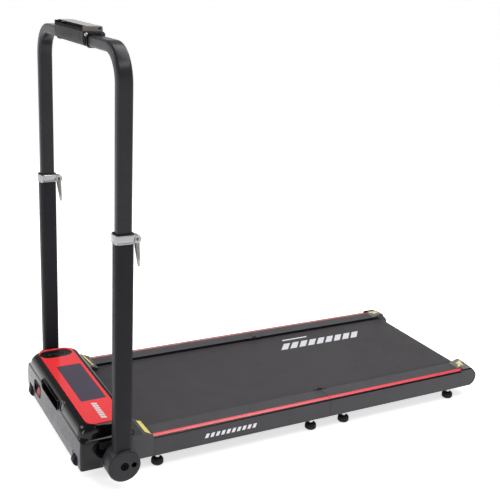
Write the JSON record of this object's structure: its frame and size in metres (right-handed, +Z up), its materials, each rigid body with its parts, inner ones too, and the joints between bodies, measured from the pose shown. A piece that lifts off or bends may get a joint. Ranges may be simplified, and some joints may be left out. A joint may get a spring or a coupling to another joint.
{
  "type": "folding walking treadmill",
  "caption": "Flat motorised walking treadmill: deck folds in half, drive hood in front with a display panel, U-shaped handle that folds back and slides down.",
  "frame": {"origin": "on the floor, under the middle of the overall length and width", "axes": "+Y from the motor hood towards the tail, +Z up, +X to the right of someone facing the tail"},
  "size_m": [0.71, 1.367, 1.176],
  "materials": {
    "frame_steel": "satin black powder coat",
    "rail_metal": "satin dark grey paint",
    "strip_plastic": "fine-grained dark grey",
    "cover_plastic": "fine-grained dark grey",
    "trim_red": "satin red",
    "deck_board": "black laminate on wood fibre",
    "belt": "matt black with a fine weave",
    "rubber": "matt black",
    "zinc_steel": "turned, zinc plated",
    "motor_case": "gloss black",
    "circuit": "lacquered",
    "hood_grey": "satin grey",
    "hood_black": "polished black",
    "panel_red": "polished red",
    "rocker_red": "clear red",
    "window": "polished smoked cover",
    "pad_black": "soft black",
    "wheel_plastic": "satin black",
    "bolt_black": "blackened steel",
    "tube_paint": "satin black powder coat",
    "bush_plastic": "satin black",
    "clamp_silver": "cast and tumbled",
    "console_plastic": "satin dark grey",
    "console_top": "satin silver grey"
  },
  "bodies": {
    "base": {"front_frame": "frame_steel", "front_rails": "rail_metal", "front_foot_strips": "strip_plastic", "front_trims": "trim_red", "front_deck_board": "deck_board", "front_deck_cushions": "rubber", "walking_belt_front": "belt", "front_foot_pads": "rubber", "front_foot_studs": "zinc_steel", "fold_hinge_front_leaves": "frame_steel", "fold_hinge_pins": "zinc_steel", "front_roller_mounts": "frame_steel", "motor_housing": "motor_case", "drive_belt": "belt", "motor_controller": "circuit", "hood_base": "hood_grey", "hood_cover": "hood_black", "front_side_covers": "cover_plastic", "top_panel": "panel_red", "display_window": "window", "display_board": "circuit", "control_pad": "pad_black", "grip_insert": "hood_black", "key_socket": "hood_black", "switch_bezel": "hood_black", "mains_inlet": "hood_black", "wheel_brackets": "frame_steel", "wheel_axles": "zinc_steel", "pivot_brackets": "frame_steel", "pivot_bolts": "bolt_black"},
    "deck_rear": {"rear_frame": "frame_steel", "rear_rails": "rail_metal", "rear_foot_strips": "strip_plastic", "rear_trims": "trim_red", "rear_deck_board": "deck_board", "walking_belt_rear": "belt", "rear_foot_pads": "rubber", "rear_foot_studs": "zinc_steel", "fold_hinge_rear_leaves": "frame_steel", "rear_end_caps": "cover_plastic", "rear_roller_axle": "zinc_steel"},
    "handle": {"pivot_disc_left": "tube_paint", "pivot_disc_right": "tube_paint", "lower_tube_left": "tube_paint", "lower_tube_right": "tube_paint", "tube_bushes": "bush_plastic", "clamp_collars": "clamp_silver", "lever_pins": "zinc_steel"},
    "upper_handle": {"handle_tube": "tube_paint", "console_body": "console_plastic", "console_top": "console_top", "console_end_caps": "console_plastic"},
    "lever_left": {"cam_lever_left": "clamp_silver"},
    "lever_right": {"cam_lever_right": "clamp_silver"},
    "front_roller": {"front_roller": "zinc_steel"},
    "rear_roller": {"rear_roller": "zinc_steel"},
    "motor_rotor": {"motor_rotor": "zinc_steel"},
    "wheel_left": {"transport_wheel_left": "wheel_plastic"},
    "wheel_right": {"transport_wheel_right": "wheel_plastic"},
    "rocker": {"power_rocker": "rocker_red"}
  },
  "joints": [
    {"name": "deck_fold", "type": "hinge", "parent": "base", "child": "deck_rear", "pos_m": [0, 0.1065, 0.102], "axis": [1, 0, 0], "range_deg": [0, 178]},
    {"name": "handle_fold", "type": "hinge", "parent": "base", "child": "handle", "pos_m": [0, -0.5825, 0.076], "axis": [-1, 0, 0], "range_deg": [0, 84]},
    {"name": "handle_height", "type": "slide", "parent": "handle", "child": "upper_handle", "axis": [0, 0, 1], "range_m": [-0.25, 0]},
    {"name": "cam_lever_left_swing", "type": "hinge", "parent": "handle", "child": "lever_left", "pos_m": [-0.33, -0.5485, 0.69], "axis": [1, 0, 0], "range_deg": [0, 110]},
    {"name": "cam_lever_right_swing", "type": "hinge", "parent": "handle", "child": "lever_right", "pos_m": [0.33, -0.5485, 0.69], "axis": [1, 0, 0], "range_deg": [0, 110]},
    {"name": "front_roller_spin", "type": "hinge", "parent": "base", "child": "front_roller", "pos_m": [0, -0.531, 0.07], "axis": [1, 0, 0], "continuous": true},
    {"name": "rear_roller_spin", "type": "hinge", "parent": "deck_rear", "child": "rear_roller", "pos_m": [0, 0.642, 0.07], "axis": [1, 0, 0], "continuous": true},
    {"name": "motor_spin", "type": "hinge", "parent": "base", "child": "motor_rotor", "pos_m": [0, -0.617, 0.082], "axis": [1, 0, 0], "continuous": true},
    {"name": "transport_wheel_left_spin", "type": "hinge", "parent": "base", "child": "wheel_left", "pos_m": [-0.219, -0.6665, 0.0445], "axis": [1, 0, 0], "continuous": true},
    {"name": "transport_wheel_right_spin", "type": "hinge", "parent": "base", "child": "wheel_right", "pos_m": [0.219, -0.6665, 0.0445], "axis": [1, 0, 0], "continuous": true},
    {"name": "power_switch", "type": "hinge", "parent": "base", "child": "rocker", "pos_m": [-0.137, -0.6665, 0.082], "axis": [1, 0, 0], "range_deg": [0, 20]}
  ],
  "couplings": [
    {"joint": "rear_roller_spin", "follows": "front_roller_spin", "ratio": 1},
    {"joint": "motor_spin", "follows": "front_roller_spin", "ratio": 2.5}
  ]
}
